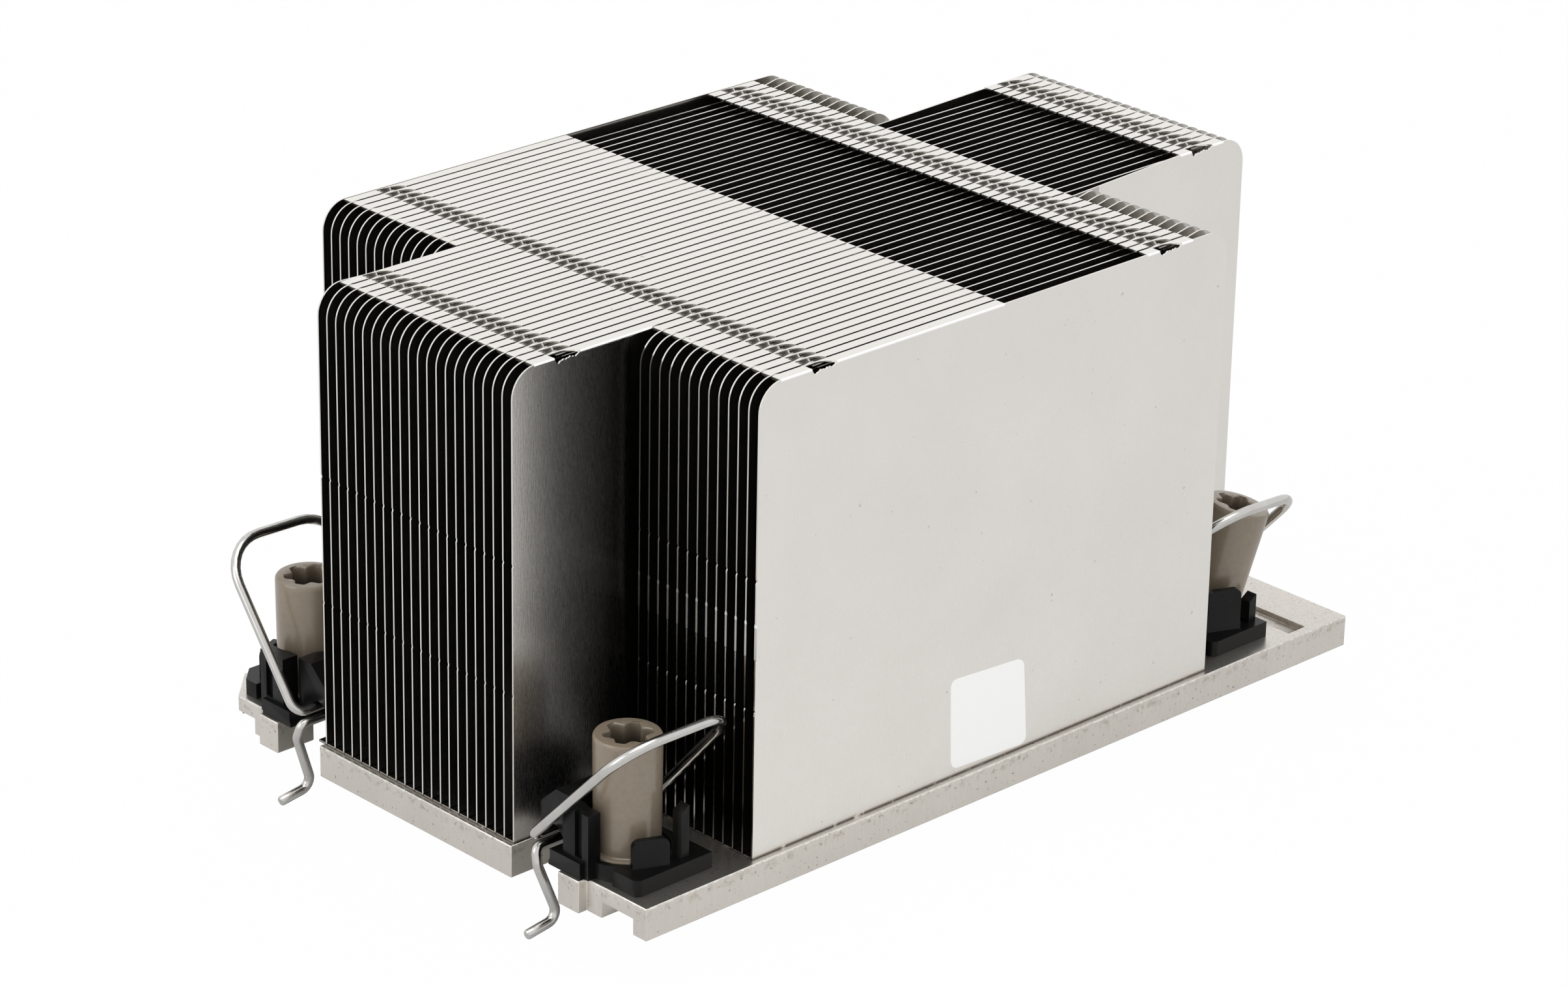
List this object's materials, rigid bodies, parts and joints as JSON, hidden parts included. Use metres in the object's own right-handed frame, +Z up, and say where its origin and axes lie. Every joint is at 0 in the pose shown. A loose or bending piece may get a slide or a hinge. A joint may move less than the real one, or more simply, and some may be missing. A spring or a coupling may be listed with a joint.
{
  "type": "passive server cpu heatsink",
  "caption": "Passive heatsink for a server processor: a plus-shaped stack of folded zipper fins on a flat plated base, with captive nuts and anti-tilt wires at the corners.",
  "frame": {"origin": "middle of the base's flat contact face", "axes": "+X across the fins, +Y along them towards the shorter ends of the outer fins, +Z up from the contact face"},
  "size_m": [0.0772, 0.1216, 0.0665],
  "materials": {
    "fin_sheet": "satin nickel-plated sheet",
    "base_plating": "dull nickel plating with pits and smudges",
    "nut_polymer": "satin tan engineering polymer",
    "retainer_black": "satin black",
    "wire_steel": "polished wire"
  },
  "bodies": {
    "heatsink": {"base_plate": "base_plating", "nut_retainers": "retainer_black", "wing_fin_01": "fin_sheet", "wing_fin_02": "fin_sheet", "wing_fin_03": "fin_sheet", "wing_fin_04": "fin_sheet", "wing_fin_05": "fin_sheet", "wing_fin_06": "fin_sheet", "wing_fin_07": "fin_sheet", "wing_fin_08": "fin_sheet", "wing_fin_09": "fin_sheet", "wing_fin_10": "fin_sheet", "wing_fin_11": "fin_sheet", "wing_fin_12": "fin_sheet", "wing_fin_13": "fin_sheet", "centre_fin_14": "fin_sheet", "centre_fin_15": "fin_sheet", "centre_fin_16": "fin_sheet", "centre_fin_17": "fin_sheet", "centre_fin_18": "fin_sheet", "centre_fin_19": "fin_sheet", "centre_fin_20": "fin_sheet", "centre_fin_21": "fin_sheet", "centre_fin_22": "fin_sheet", "centre_fin_23": "fin_sheet", "centre_fin_24": "fin_sheet", "centre_fin_25": "fin_sheet", "centre_fin_26": "fin_sheet", "centre_fin_27": "fin_sheet", "centre_fin_28": "fin_sheet", "centre_fin_29": "fin_sheet", "centre_fin_30": "fin_sheet", "centre_fin_31": "fin_sheet", "centre_fin_32": "fin_sheet", "centre_fin_33": "fin_sheet", "centre_fin_34": "fin_sheet", "centre_fin_35": "fin_sheet", "wing_fin_36": "fin_sheet", "wing_fin_37": "fin_sheet", "wing_fin_38": "fin_sheet", "wing_fin_39": "fin_sheet", "wing_fin_40": "fin_sheet", "wing_fin_41": "fin_sheet", "wing_fin_42": "fin_sheet", "wing_fin_43": "fin_sheet", "wing_fin_44": "fin_sheet", "wing_fin_45": "fin_sheet", "wing_fin_46": "fin_sheet", "wing_fin_47": "fin_sheet", "wing_fin_48": "fin_sheet"},
    "nut_front_right": {"captive_nut_front_right": "nut_polymer"},
    "wire_front_right": {"anti_tilt_wire_front_right": "wire_steel"},
    "nut_front_left": {"captive_nut_front_left": "nut_polymer"},
    "wire_front_left": {"anti_tilt_wire_front_left": "wire_steel"},
    "nut_back_right": {"captive_nut_back_right": "nut_polymer"},
    "wire_back_right": {"anti_tilt_wire_back_right": "wire_steel"},
    "nut_back_left": {"captive_nut_back_left": "nut_polymer"},
    "wire_back_left": {"anti_tilt_wire_back_left": "wire_steel"}
  },
  "joints": [
    {"name": "nut_front_right_turn", "type": "hinge", "parent": "heatsink", "child": "nut_front_right", "pos_m": [0.02835, -0.0523, 0.00485], "axis": [0, 0, 1], "continuous": true},
    {"name": "nut_front_left_turn", "type": "hinge", "parent": "heatsink", "child": "nut_front_left", "pos_m": [-0.02835, -0.0523, 0.00485], "axis": [0, 0, 1], "continuous": true},
    {"name": "nut_back_right_turn", "type": "hinge", "parent": "heatsink", "child": "nut_back_right", "pos_m": [0.02855, 0.0432, 0.00555], "axis": [0.1325, 0.2125, 0.9681], "continuous": true},
    {"name": "nut_back_left_turn", "type": "hinge", "parent": "heatsink", "child": "nut_back_left", "pos_m": [-0.02835, 0.0423, 0.00485], "axis": [0, 0, 1], "continuous": true},
    {"name": "wire_front_right_swing", "type": "hinge", "parent": "heatsink", "child": "wire_front_right", "pos_m": [0.021, -0.0523, 0.00535], "axis": [0, -1, 0], "range_deg": [-38, 25]},
    {"name": "wire_front_left_swing", "type": "hinge", "parent": "heatsink", "child": "wire_front_left", "pos_m": [-0.021, -0.0523, 0.00535], "axis": [0, 1, 0], "range_deg": [-38, 25]},
    {"name": "wire_back_right_swing", "type": "hinge", "parent": "heatsink", "child": "wire_back_right", "pos_m": [0.021, 0.0423, 0.00535], "axis": [0, -1, 0], "range_deg": [-38, 25]},
    {"name": "wire_back_left_swing", "type": "hinge", "parent": "heatsink", "child": "wire_back_left", "pos_m": [-0.021, 0.0423, 0.00535], "axis": [0, 1, 0], "range_deg": [-38, 25]}
  ]
}
